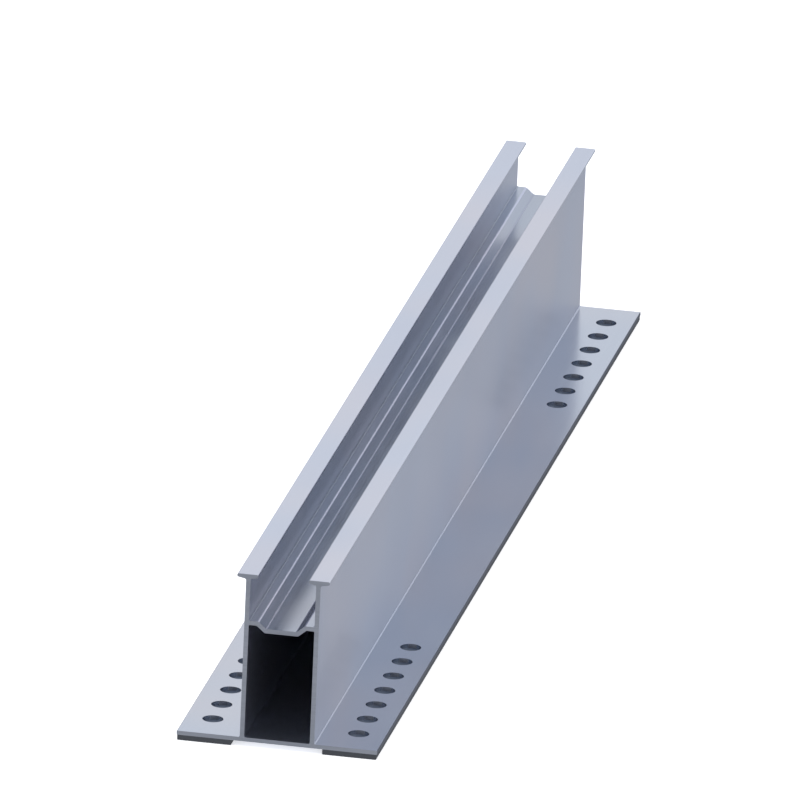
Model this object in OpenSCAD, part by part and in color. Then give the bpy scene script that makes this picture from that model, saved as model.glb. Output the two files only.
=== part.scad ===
// Short roof rail that carries solar panels on a metal sheet roof.
// One aluminium extrusion stands on two rubber sealing strips. Its closed box carries an open
// channel above, and both flanges have a row of screw holes at each end.
// Origin: centre of the rail's length and width, at the underside of the strips. The rail runs
// along Y, X is across it and Z is up.

/* [Rail] */
// Length of the rail
rail_length = 470; // [300:5:1200]
// Width over both flanges
base_width = 67.3; // [66:0.1:90]
// Height from the underside of the flanges to the top of the caps
rail_height = 58.2; // [54:0.1:100]
// Thickness of the flanges and of the floor of the box
base_t = 1.4; // [1.2:0.1:2.5]
// Rounding along the long edges of the flanges
edge_r = 0.2; // [0.2:0.05:0.5]

/* [Walls] */
// Width over the outside of the two walls
body_width = 25; // [24:0.5:30]
// Thickness of the walls
wall_t = 1.5; // [1.2:0.1:2]
// Fillet outside, between a wall and its flange
foot_fillet = 0.5; // [0.4:0.1:2]
// Fillet inside the box, between a wall and the floor
floor_fillet = 0.6; // [0.3:0.1:1.5]

/* [Caps] */
// How far a cap stands out over the flange
outer_lip = 3; // [2:0.1:3.5]
// How far a cap stands in over the channel
inner_lip = 2.5; // [2:0.1:3.5]
// Thickness of a lip at its tip
lip_tip_t = 1.1; // [1:0.1:1.5]
// Rounding of the two edges of a lip's tip
lip_tip_r = 0.45; // [0.2:0.05:0.5]
// Slope of the underside of a lip, in degrees
lip_slope = 11; // [4:1:16]
// Fillet between the underside of a lip and the wall
lip_fillet = 0.7; // [0.3:0.1:1]

/* [Web] */
// Height of the underside of the web's trough above the underside of the flanges
web_height = 38.3; // [30:0.1:40]
// Thickness of the web
web_t = 1.5; // [1.2:0.1:1.8]
// Width of the trough, between the corners of its two slopes
trough_width = 10.7; // [9:0.1:12]
// Depth of the trough below the shoulders beside the walls
trough_depth = 2.3; // [2:0.1:2.8]
// Slope of the sides of the trough, in degrees
trough_slope = 40; // [36:1:50]
// Inside radius of the bends beside the trough
web_inside_r = 0.6; // [0.4:0.1:1.2]
// Outside radius of the bends beside the trough
web_outside_r = 1; // [0.6:0.1:2.5]
// Fillet between the web and a wall
web_fillet = 0.4; // [0.3:0.1:0.7]

/* [Holes] */
// Diameter of the screw holes
hole_d = 7; // [5:0.5:7]
// Distance between the two rows of holes
row_spacing = 49; // [46:0.5:52]
// Holes in each row at each end
holes_each_end = 7; // [2:1:9]
// Distance between neighbouring holes
hole_pitch = 15; // [10:0.5:16]
// Distance from the end of the rail to the first hole
end_margin = 15; // [8:0.5:20]

/* [Sealing strips] */
// Width of a strip
strip_width = 18.2; // [14:0.1:18.5]
// Thickness of a strip
strip_t = 1.8; // [1:0.1:4]
// How far a strip's outer side stays inside the flange's edge
strip_inset = 0.2; // [0:0.1:1]
// Rounding along the lower edges of a strip
strip_edge_r = 0.4; // [0.2:0.1:0.5]

/* [Hidden] */
$fn = 48;
// Colours of the aluminium and of the rubber
rail_colour = [0.72, 0.74, 0.79];
strip_colour = [0.2, 0.21, 0.22];
// Half widths: the flanges, and the outer and inner faces of the walls
edge_x = base_width / 2;
outer_x = body_width / 2;
inner_x = outer_x - wall_t;
// Where the lips end, and how far below the top their undersides meet the walls
outer_tip_x = outer_x + outer_lip;
inner_tip_x = inner_x - inner_lip;
outer_root = lip_tip_t + outer_lip * tan(lip_slope);
inner_root = lip_tip_t + inner_lip * tan(lip_slope);
// Undersides of the trough and of the shoulders
trough_z = web_height;
shoulder_z = web_height + trough_depth;
// Corners of a slope at its foot and at its shoulder, at half the web's thickness, and how far
// they shift in or out on its upper and lower side so that the thickness stays the same
foot_x = trough_width / 2;
crest_x = foot_x + trough_depth / tan(trough_slope);
corner_shift = web_t / 2 * tan(trough_slope / 2);
// Distance from the middle of the rail to its first hole, and from the middle to a row
first_hole = rail_length / 2 - end_margin;
row_x = row_spacing / 2;
// How far a fillet runs into the solid that it joins, or a cut runs out of it
lap = 0.5;
// How much larger a rounding circle is than one that just touches both sides of its corner, so
// that it always crosses them
crossing = 0.0005;

// Right half of the section's outline, with sharp corners, from the underside to the trough
right_outline = [
    [edge_x, 0],
    [edge_x, base_t],
    [outer_x, base_t],
    [outer_x, rail_height - outer_root],
    [outer_tip_x, rail_height - lip_tip_t],
    [outer_tip_x, rail_height],
    [inner_tip_x, rail_height],
    [inner_tip_x, rail_height - lip_tip_t],
    [inner_x, rail_height - inner_root],
    [inner_x, shoulder_z + web_t],
    [crest_x - corner_shift, shoulder_z + web_t],
    [foot_x - corner_shift, trough_z + web_t]
];

// Right half of the outline of the box's hollow, with sharp corners
right_hollow = [
    [inner_x, base_t],
    [inner_x, shoulder_z],
    [crest_x + corner_shift, shoulder_z],
    [foot_x + corner_shift, trough_z]
];

// Both halves of an outline from its right half
function both_sides(right) =
    concat(right, [for (i = [len(right) - 1 : -1 : 0]) [-right[i][0], right[i][1]]]);

// The piece between a corner and a circle that touches its two sides. The sides leave the corner
// in the directions from and to, in degrees. It fills an inside corner, or is cut from an
// outside one.
module blend(corner, r, from, to) {
    half = (to - from) / 2;
    middle = [cos((from + to) / 2), sin((from + to) / 2)];
    from_out = [sin(from), -cos(from)];
    to_out = [-sin(to), cos(to)];
    centre = corner + middle * r / sin(half);
    difference() {
        polygon([
            centre,
            centre + from_out * (r + lap),
            corner - middle * lap / sin(half),
            centre + to_out * (r + lap)
        ]);
        translate(centre)
            circle(r + crossing);
    }
}

// Stretches a shape, drawn across the rail, along the whole rail
module along_rail() {
    translate([0, rail_length / 2, strip_t])
        rotate([90, 0, 0])
            linear_extrude(rail_length)
                children();
}

// Draws its shapes on the right of the section and mirrored on the left
module on_both_sides() {
    for (side = [0, 1])
        mirror([side, 0])
            children();
}

// Fillets that fill the inside corners of the section
module fillets() {
    blend([outer_x, base_t], foot_fillet, 0, 90);
    blend([inner_x, base_t], floor_fillet, 90, 180);
    blend([outer_x, rail_height - outer_root], lip_fillet, 270, 360 + lip_slope);
    blend([inner_x, rail_height - inner_root], lip_fillet, 180 - lip_slope, 270);
    blend([inner_x, shoulder_z + web_t], web_fillet, 90, 180);
    blend([inner_x, shoulder_z], web_fillet, 180, 270);
    blend([crest_x + corner_shift, shoulder_z], web_inside_r, 180 + trough_slope, 360);
    blend([foot_x - corner_shift, trough_z + web_t], web_inside_r, trough_slope, 180);
}

// Pieces cut from the outside corners of the section to round them
module rounds() {
    blend([edge_x, 0], edge_r, 90, 180);
    blend([edge_x, base_t], edge_r, 180, 270);
    blend([outer_tip_x, rail_height], lip_tip_r, 180, 270);
    blend([outer_tip_x, rail_height - lip_tip_t], lip_tip_r, 90, 180 + lip_slope);
    blend([inner_tip_x, rail_height], lip_tip_r, 270, 360);
    blend([inner_tip_x, rail_height - lip_tip_t], lip_tip_r, -lip_slope, 90);
    blend([crest_x - corner_shift, shoulder_z + web_t], web_outside_r, 180 + trough_slope, 360);
    blend([foot_x + corner_shift, trough_z], web_outside_r, trough_slope, 180);
}

// The four rows of holes, through both flanges
module screw_holes() {
    for (side = [-1, 1], end = [-1, 1], i = [0 : holes_each_end - 1])
        translate([side * row_x, end * (first_hole - i * hole_pitch), strip_t - 1])
            cylinder(h = base_t + 2, d = hole_d);
}

module rail() {
    color(rail_colour)
        difference() {
            union() {
                along_rail()
                    difference() {
                        polygon(both_sides(right_outline));
                        polygon(both_sides(right_hollow));
                    }
                along_rail()
                    on_both_sides()
                        fillets();
            }
            along_rail()
                on_both_sides()
                    rounds();
            screw_holes();
        }
}

module seal_strip(side) {
    outside = side * (edge_x - strip_inset);
    inside = outside - side * strip_width;
    color(strip_colour)
        along_rail()
            difference() {
                translate([min(outside, inside), -strip_t])
                    square([strip_width, strip_t]);
                blend([max(outside, inside), -strip_t], strip_edge_r, 90, 180);
                blend([min(outside, inside), -strip_t], strip_edge_r, 0, 90);
            }
}

rail();
seal_strip(-1);  // left_seal_strip
seal_strip(1);  // right_seal_strip
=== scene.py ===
import bpy
from mathutils import Matrix, Vector

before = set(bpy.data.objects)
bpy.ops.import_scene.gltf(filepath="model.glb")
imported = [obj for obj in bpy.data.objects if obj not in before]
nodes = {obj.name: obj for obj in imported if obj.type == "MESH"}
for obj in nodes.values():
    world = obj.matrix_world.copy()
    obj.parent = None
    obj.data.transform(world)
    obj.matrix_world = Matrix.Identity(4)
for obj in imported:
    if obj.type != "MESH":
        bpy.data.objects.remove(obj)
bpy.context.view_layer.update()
print("frame loaded:", ", ".join(sorted(nodes)))

mm = 0.001  # one millimetre
# a surface begins to face along an axis at the first of these parts of its normal, and faces
# along it fully from the second
facingLimits = (0.85, 0.95)


def linearColour(hexColour):
    # each channel c of an sRGB hex colour becomes c / 12.92 up to 0.04045,
    # and ((c + 0.055) / 1.055) to the power 2.4 above it
    channels = [int(hexColour[i:i + 2], 16) / 255 for i in (1, 3, 5)]
    linear = [c / 12.92 if c <= 0.04045 else ((c + 0.055) / 1.055) ** 2.4 for c in channels]
    return linear + [1.0]


def pick(sockets, name):
    # a socket by its number, or the one in use with this name, as a Mix node has several of each
    if isinstance(name, int):
        return sockets[name]
    return next(socket for socket in sockets if socket.enabled and socket.name == name)


def addNode(tree, kind, values=None, links=None, **settings):
    # adds one node: settings are its properties, values its sockets' own numbers, and
    # links join its sockets to outputs of other nodes
    node = tree.nodes.new(kind)
    for key, value in settings.items():
        setattr(node, key, value)
    for name, value in (values or {}).items():
        pick(node.inputs, name).default_value = value
    for name, source in (links or {}).items():
        tree.links.new(source, pick(node.inputs, name))
    return node


def newMaterial(name):
    material = bpy.data.materials.new(name)
    material.use_nodes = True
    material.node_tree.nodes.clear()
    return material, material.node_tree


def dress(node, material):
    mesh = nodes[node].data
    mesh.materials.clear()
    mesh.materials.append(material)


# the camera: the picture is almost without perspective, so the lens is very long
cameraSetup = {
    "right": (0.98084, 0.19073, 0.03983),  # where the picture's right and top point
    "up": (-0.09859, 0.30951, 0.94577),
    "lens": 1600,  # in millimetres, as the sensor
    "sensor": 36,
    "pictureWidth": 800,  # pixels, and as high
    "frameWidth": 268.0 * mm,  # what the picture's width shows at the middle of the rail
    "aim": (0.0, 0.0, 32 * mm),
    "aimPixel": (416.3, 436.3),  # where that point lies in the picture
    "clipStart": 0.1,
    "clipBeyond": 8.0,  # how far the camera sees past the rail
}


def addCamera(setup):
    right = Vector(setup["right"]).normalized()
    up = Vector(setup["up"])
    up = (up - right * up.dot(right)).normalized()
    back = right.cross(up)
    distance = setup["frameWidth"] * setup["lens"] / setup["sensor"]
    data = bpy.data.cameras.new("studioCamera")
    data.lens = setup["lens"]
    data.sensor_width = setup["sensor"]
    data.clip_start = setup["clipStart"]
    data.clip_end = distance + setup["clipBeyond"]
    camera = bpy.data.objects.new("studioCamera", data)
    bpy.context.scene.collection.objects.link(camera)

    # it stands off the axis through the aim, so that the aim lands on its pixel
    middle = setup["pictureWidth"] / 2
    perPixel = setup["frameWidth"] / setup["pictureWidth"]
    aside = right * (middle - setup["aimPixel"][0]) * perPixel
    upward = up * (setup["aimPixel"][1] - middle) * perPixel
    place = Vector(setup["aim"]) + aside + upward + back * distance
    turn = Matrix((right, up, back)).transposed().to_4x4()
    camera.matrix_world = Matrix.Translation(place) @ turn
    bpy.context.scene.camera = camera


addCamera(cameraSetup)
print("camera placed")

# the rail
rail = {
    "colour": "#D2D9E6",  # of the anodised skin
    "darkColour": "#C7CEDD",  # of its faint darker patches and die lines
    "filmColour": "#D4D6E0",  # of the patches where the oxide film is a little thicker
    "edgeTint": "#D7D7DA",  # how much it still mirrors at a grazing angle
    "roughness": 0.17,
    "glossSpread": 0.04,  # how far the lines and patches change the roughness
    "anisotropy": 0.75,
    "dieLine": 0.9 * mm,  # spacing of the die lines: real ones, about 0.2 mm, are too fine to show
    "dieLineLength": 900 * mm,
    "dieLineShare": 0.35,  # how much of the shade the die lines make, and the patches the rest
    "shadeRange": (0.3, 0.7),  # between which the shade mostly lies
    "patch": 45 * mm,
    "filmPatch": 64.3 * mm,
    "filmPattern": 3.0,  # picks a pattern of its own for the film
    "filmFade": (0.4, 0.65),  # the pattern's values between which the film sets in
    # the sawn ends' colours are darker than the skin as painted shade; the blade's marks in them
    # are real
    "sawnColour": "#A9ADB6",
    "sawnMarkPaintedShadeColour": "#90949D",  # of the blade's marks
    "sawnRoughness": 0.42,
    "sawMark": 0.6 * mm,  # spacing of the blade's marks, about 0.3 mm in reality
    "sawMarkLength": 12 * mm,
    "sawMarkSlant": 0.35,  # in radians
    "reliefStrength": 0.05,
    "reliefDepth": 0.03 * mm,
    # where the skin differs: the distances from the middle and the heights between which each
    # place lies, the painted shade that darkens its colour there, and its roughness. The darkening
    # on the flanges, their long sides, the foot fillets and in the channel is painted shade; white
    # leaves the colour as it is.
    "places": {
        "flanges": ((12.6 * mm, 40 * mm), (0, 3.3 * mm), "#F6F8F7", 0.17),
        "footFillets": ((12.52 * mm, 13 * mm), (3.22 * mm, 4 * mm), "#FAFCFF", 0.5),
        # the flanges' long sides: their dark colour is painted shade, standing in for the shaded
        # floor they would mirror
        "flangeSidesPaintedShade": ((33.48 * mm, 40 * mm), (0, 4 * mm), "#7C7E84", 0.5),
        "outerWalls": ((12.3 * mm, 12.52 * mm), (3.7 * mm, 58 * mm), "#FFFFFF", 0.34),
        "channelWalls": ((10.9 * mm, 11.06 * mm), (44.32 * mm, 59.4 * mm), "#FFFFFF", 0.36),
        # the channel's corners, shoulders, bends, slopes and trough are darkened as painted shade
        "channelCorners": ((10.6 * mm, 11.06 * mm), (43.8 * mm, 44.32 * mm), "#D8DBDE", 0.5),
        "shoulders": ((8.2 * mm, 10.6 * mm), (43.8 * mm, 44 * mm), "#E6E9EA", 0.22),
        "webBends": ((7.5 * mm, 8.2 * mm), (43.6 * mm, 44 * mm), "#F4F4FA", 0.26),
        "webSlopes": ((5.45 * mm, 7.5 * mm), (41.7 * mm, 43.7 * mm), "#D8DBDE", 0.21),
        "troughCorners": ((4.75 * mm, 5.45 * mm), (41.55 * mm, 42 * mm), "#D3D5DA", 0.26),
        "trough": ((0, 4.75 * mm), (41 * mm, 42 * mm), "#DFE2E3", 0.2),
        "closedBox": ((0, 11.06 * mm), (0, 41 * mm), "#FFFFFF", 0.6),
    },
}


def placeMask(tree, axes, across, heights):
    # 1 where the distance from the middle and the height both lie in their ranges, else 0
    within = []
    for axis, (low, high) in (("X", across), ("Z", heights)):
        inRange = addNode(tree, "ShaderNodeMath", {1: (low + high) / 2, 2: (high - low) / 2},
                          {0: axes.outputs[axis]}, operation="COMPARE")
        within.append(inRange.outputs[0])
    both = addNode(tree, "ShaderNodeMath", links={0: within[0], 1: within[1]}, operation="MULTIPLY")
    return both.outputs[0]


def extrudedAluminium(look):
    # Anodised aluminium, extruded: the skin is satin, and the die has drawn faint straight
    # lines along it, which blur reflections across the rail more than along it. The two
    # sawn ends are duller, with the slanting marks of the blade, and their darker colour is painted
    # shade.
    material, tree = newMaterial("extrudedAluminium")
    out = addNode(tree, "ShaderNodeOutputMaterial")
    coords = addNode(tree, "ShaderNodeTexCoord")
    position = coords.outputs["Object"]
    normal = coords.outputs["Normal"]

    # die lines and patches shade the skin, and the film tints it
    across = 1 / look["dieLine"]
    along = 1 / look["dieLineLength"]
    lineSpace = addNode(tree, "ShaderNodeMapping", {"Scale": (across, along, across)},
                        {"Vector": position})
    lines = addNode(tree, "ShaderNodeTexNoise", {"Scale": 1.0, "Detail": 1.0, "Roughness": 0.5},
                    {"Vector": lineSpace.outputs[0]})
    patches = addNode(tree, "ShaderNodeTexNoise",
                      {"Scale": 1 / look["patch"], "Detail": 2.0, "Roughness": 0.5},
                      {"Vector": position})
    film = addNode(tree, "ShaderNodeTexNoise",
                   {"Scale": 1 / look["filmPatch"], "Detail": 1.0, "W": look["filmPattern"]},
                   {"Vector": position}, noise_dimensions="4D")
    shade = addNode(tree, "ShaderNodeMix", {"Factor": look["dieLineShare"]},
                    {"A": patches.outputs["Fac"], "B": lines.outputs["Fac"]})
    plainSkin = addNode(tree, "ShaderNodeMix", {
        "A": linearColour(look["darkColour"]),
        "B": linearColour(look["colour"]),
    }, {"Factor": pick(shade.outputs, "Result")}, data_type="RGBA")
    filmed = addNode(tree, "ShaderNodeMapRange", {
        "From Min": look["filmFade"][0],
        "From Max": look["filmFade"][1],
    }, {"Value": film.outputs["Fac"]})
    skin = addNode(tree, "ShaderNodeMix", {"B": linearColour(look["filmColour"])}, {
        "Factor": filmed.outputs[0],
        "A": pick(plainSkin.outputs, "Result"),
    }, data_type="RGBA")
    gloss = addNode(tree, "ShaderNodeMapRange", {
        "From Min": look["shadeRange"][0],
        "From Max": look["shadeRange"][1],
        "To Min": look["roughness"] - look["glossSpread"],
        "To Max": look["roughness"] + look["glossSpread"],
    }, {"Value": pick(shade.outputs, "Result")})

    # each place darkens the colour with its painted shade and shifts the roughness
    colour = pick(skin.outputs, "Result")
    roughness = gloss.outputs[0]
    distance = addNode(tree, "ShaderNodeVectorMath", links={0: position}, operation="ABSOLUTE")
    axes = addNode(tree, "ShaderNodeSeparateXYZ", links={0: distance.outputs[0]})
    for acrossRange, heightRange, tint, ownRoughness in look["places"].values():
        mask = placeMask(tree, axes, acrossRange, heightRange)
        tinted = addNode(tree, "ShaderNodeMix", {"B": linearColour(tint)},
                         {"Factor": mask, "A": colour}, data_type="RGBA", blend_type="MULTIPLY")
        shifted = addNode(tree, "ShaderNodeMath", {1: ownRoughness - look["roughness"]},
                          {0: mask, 2: roughness}, operation="MULTIPLY_ADD")
        colour = pick(tinted.outputs, "Result")
        roughness = shifted.outputs[0]

    # the sawn ends are where the surface faces along the rail
    facing = addNode(tree, "ShaderNodeVectorMath", links={0: normal}, operation="ABSOLUTE")
    facingAxes = addNode(tree, "ShaderNodeSeparateXYZ", links={0: facing.outputs[0]})
    isSawn = addNode(tree, "ShaderNodeMapRange", {
        "From Min": facingLimits[0],
        "From Max": facingLimits[1],
    }, {"Value": facingAxes.outputs["Y"]})
    sawSpace = addNode(tree, "ShaderNodeMapping", {
        "Rotation": (0, look["sawMarkSlant"], 0),
        "Scale": (1 / look["sawMarkLength"], 1.0, 1 / look["sawMark"]),
    }, {"Vector": position})
    sawMarks = addNode(tree, "ShaderNodeTexNoise", {"Scale": 1.0, "Detail": 2.0, "Roughness": 0.5},
                       {"Vector": sawSpace.outputs[0]})
    # the sawn colours carry painted shade, and the blade's marks vary them
    sawnSkinWithPaintedShade = addNode(tree, "ShaderNodeMix", {
        "A": linearColour(look["sawnMarkPaintedShadeColour"]),
        "B": linearColour(look["sawnColour"]),
    }, {"Factor": sawMarks.outputs["Fac"]}, data_type="RGBA")
    endColour = addNode(tree, "ShaderNodeMix", links={
        "Factor": isSawn.outputs[0],
        "A": colour,
        "B": pick(sawnSkinWithPaintedShade.outputs, "Result"),
    }, data_type="RGBA")
    endRoughness = addNode(tree, "ShaderNodeMix", {"B": look["sawnRoughness"]},
                           {"Factor": isSawn.outputs[0], "A": roughness})
    height = addNode(tree, "ShaderNodeMix", links={
        "Factor": isSawn.outputs[0],
        "A": lines.outputs["Fac"],
        "B": sawMarks.outputs["Fac"],
    })
    relief = addNode(tree, "ShaderNodeBump", {
        "Strength": look["reliefStrength"],
        "Distance": look["reliefDepth"],
    }, {"Height": pick(height.outputs, "Result")})

    # the gloss is drawn out round the rail, across its die lines
    roundRail = addNode(tree, "ShaderNodeTangent", direction_type="RADIAL", axis="Y")
    shader = addNode(tree, "ShaderNodeBsdfPrincipled", {
        "Metallic": 1.0,
        "Specular Tint": linearColour(look["edgeTint"]),
        "Anisotropic": look["anisotropy"],
    }, {
        "Base Color": pick(endColour.outputs, "Result"),
        "Roughness": pick(endRoughness.outputs, "Result"),
        "Normal": relief.outputs[0],
        "Tangent": roundRail.outputs[0],
    })
    tree.links.new(shader.outputs[0], out.inputs[0])
    return material


dress("rail", extrudedAluminium(rail))
print("rail dressed")

# the sealing strips
sealStrips = {
    "colour": "#3E4146",
    "darkColour": "#35383D",
    # the glued side's lighter, bluer colour is painted light for the shaded holes
    "gluePaintedLightColour": "#4F596A",  # of the tape's glued side, which shows in the holes
    "roughness": 0.72,
    "glueRoughness": 0.5,
    "specular": 0.35,
    "grain": 0.8 * mm,  # closed cells of about 0.3 mm, drawn coarser so that they show
    "cloud": 25 * mm,
    "cloudShare": 0.5,  # how much of the shade the clouds make, and the grain the rest
    "reliefStrength": 0.35,
    "reliefDepth": 0.1 * mm,
}


def foamRubber(look):
    # EPDM foam rubber, sliced into tape: matt charcoal with a fine closed-cell grain. Its
    # upper side carries the film of glue, which is smoother; its lighter, bluer colour there is
    # painted light that lifts the shade in the holes.
    material, tree = newMaterial("foamRubber")
    out = addNode(tree, "ShaderNodeOutputMaterial")
    coords = addNode(tree, "ShaderNodeTexCoord")
    position = coords.outputs["Object"]
    grain = addNode(tree, "ShaderNodeTexNoise",
                    {"Scale": 1 / look["grain"], "Detail": 2.0, "Roughness": 0.55},
                    {"Vector": position})
    cloud = addNode(tree, "ShaderNodeTexNoise", {"Scale": 1 / look["cloud"], "Detail": 1.0},
                    {"Vector": position})
    shade = addNode(tree, "ShaderNodeMix", {"Factor": look["cloudShare"]},
                    {"A": grain.outputs["Fac"], "B": cloud.outputs["Fac"]})
    foam = addNode(tree, "ShaderNodeMix", {
        "A": linearColour(look["darkColour"]),
        "B": linearColour(look["colour"]),
    }, {"Factor": pick(shade.outputs, "Result")}, data_type="RGBA")
    facing = addNode(tree, "ShaderNodeSeparateXYZ", links={0: coords.outputs["Normal"]})
    # the upward face: the glue makes it smoother, and its lighter colour is painted light
    gluedSideWithPaintedLight = addNode(tree, "ShaderNodeMapRange", {
        "From Min": facingLimits[0],
        "From Max": facingLimits[1],
    }, {"Value": facing.outputs["Z"]})
    colour = addNode(tree, "ShaderNodeMix", {"B": linearColour(look["gluePaintedLightColour"])}, {
        "Factor": gluedSideWithPaintedLight.outputs[0],
        "A": pick(foam.outputs, "Result"),
    }, data_type="RGBA")
    roughness = addNode(tree, "ShaderNodeMix", {
        "A": look["roughness"],
        "B": look["glueRoughness"],
    }, {"Factor": gluedSideWithPaintedLight.outputs[0]})
    relief = addNode(tree, "ShaderNodeBump", {
        "Strength": look["reliefStrength"],
        "Distance": look["reliefDepth"],
    }, {"Height": grain.outputs["Fac"]})
    shader = addNode(tree, "ShaderNodeBsdfPrincipled", {"Specular IOR Level": look["specular"]}, {
        "Base Color": pick(colour.outputs, "Result"),
        "Roughness": pick(roughness.outputs, "Result"),
        "Normal": relief.outputs[0],
    })
    tree.links.new(shader.outputs[0], out.inputs[0])
    return material


stripRubber = foamRubber(sealStrips)
dress("left_seal_strip", stripRubber)
dress("right_seal_strip", stripRubber)
print("sealing strips dressed")

# the floor
floorSetup = {"size": 30.0, "colour": "#F2F2F3", "roughness": 0.9, "glow": 0.6}


def addFloor(setup):
    half = setup["size"] / 2
    corners = [(-half, -half, 0), (half, -half, 0), (half, half, 0), (-half, half, 0)]
    mesh = bpy.data.meshes.new("studioFloor")
    mesh.from_pydata(corners, [], [(0, 1, 2, 3)])
    floor = bpy.data.objects.new("studioFloor", mesh)
    bpy.context.scene.collection.objects.link(floor)
    material, tree = newMaterial("paleFloor")
    out = addNode(tree, "ShaderNodeOutputMaterial")
    shader = addNode(tree, "ShaderNodeBsdfPrincipled", {
        "Base Color": linearColour(setup["colour"]),
        "Roughness": setup["roughness"],
        "Specular IOR Level": 0.0,
        "Emission Color": linearColour(setup["colour"]),
        "Emission Strength": setup["glow"],
    })
    tree.links.new(shader.outputs[0], out.inputs[0])
    mesh.materials.append(material)
    floor.visible_glossy = False  # the metal mirrors the surroundings' lower half instead


addFloor(floorSetup)

# the light
softboxes = {
    "overhead": {"at": (-0.6, 0.3, 2.2), "aim": (0, 0, 0), "size": (2.4, 2.4), "power": 12},
}
surroundings = {
    "below": "#C8CBD1",
    "around": "#FBFCFF",
    "overhead": "#DCDFE5",
    "strength": 1.09,
    # the heights, from -1 straight down to 1 straight up, between which one tone becomes the next
    "horizonFade": (-0.12, 0.02),
    "overheadFade": (0.55, 0.95),
}


def addSoftboxes(boxes):
    for name, box in boxes.items():
        data = bpy.data.lights.new(name, "AREA")
        data.shape = "RECTANGLE"
        data.size, data.size_y = box["size"]
        data.energy = box["power"]
        light = bpy.data.objects.new(name, data)
        bpy.context.scene.collection.objects.link(light)
        light.location = box["at"]
        towards = Vector(box["aim"]) - Vector(box["at"])
        light.rotation_mode = "QUATERNION"
        light.rotation_quaternion = towards.to_track_quat("-Z", "Y")
        light.visible_camera = False
        light.visible_glossy = False  # the metal mirrors the surroundings instead, which are even


def addSurroundings(setup):
    # bright round the horizon and greyer below and overhead, so that the metal has something
    # to mirror from any side
    world = bpy.data.worlds.new("studioSurroundings")
    world.use_nodes = True
    tree = world.node_tree
    tree.nodes.clear()
    out = addNode(tree, "ShaderNodeOutputWorld")
    direction = addNode(tree, "ShaderNodeTexCoord")
    height = addNode(tree, "ShaderNodeSeparateXYZ",
                     links={"Vector": direction.outputs["Generated"]})
    rise = addNode(tree, "ShaderNodeMapRange", {
        "From Min": setup["horizonFade"][0],
        "From Max": setup["horizonFade"][1],
    }, {"Value": height.outputs["Z"]}, interpolation_type="SMOOTHSTEP")
    lowTone = addNode(tree, "ShaderNodeMix", {
        "A": linearColour(setup["below"]),
        "B": linearColour(setup["around"]),
    }, {"Factor": rise.outputs[0]}, data_type="RGBA")
    climb = addNode(tree, "ShaderNodeMapRange", {
        "From Min": setup["overheadFade"][0],
        "From Max": setup["overheadFade"][1],
    }, {"Value": height.outputs["Z"]}, interpolation_type="SMOOTHSTEP")
    tone = addNode(tree, "ShaderNodeMix", {"B": linearColour(setup["overhead"])}, {
        "Factor": climb.outputs[0],
        "A": pick(lowTone.outputs, "Result"),
    }, data_type="RGBA")
    sky = addNode(tree, "ShaderNodeBackground", {"Strength": setup["strength"]},
                  {"Color": pick(tone.outputs, "Result")})
    tree.links.new(sky.outputs[0], out.inputs[0])
    bpy.context.scene.world = world


addSoftboxes(softboxes)
addSurroundings(surroundings)
bpy.context.scene.view_settings.view_transform = "Standard"
print("floor and light ready")
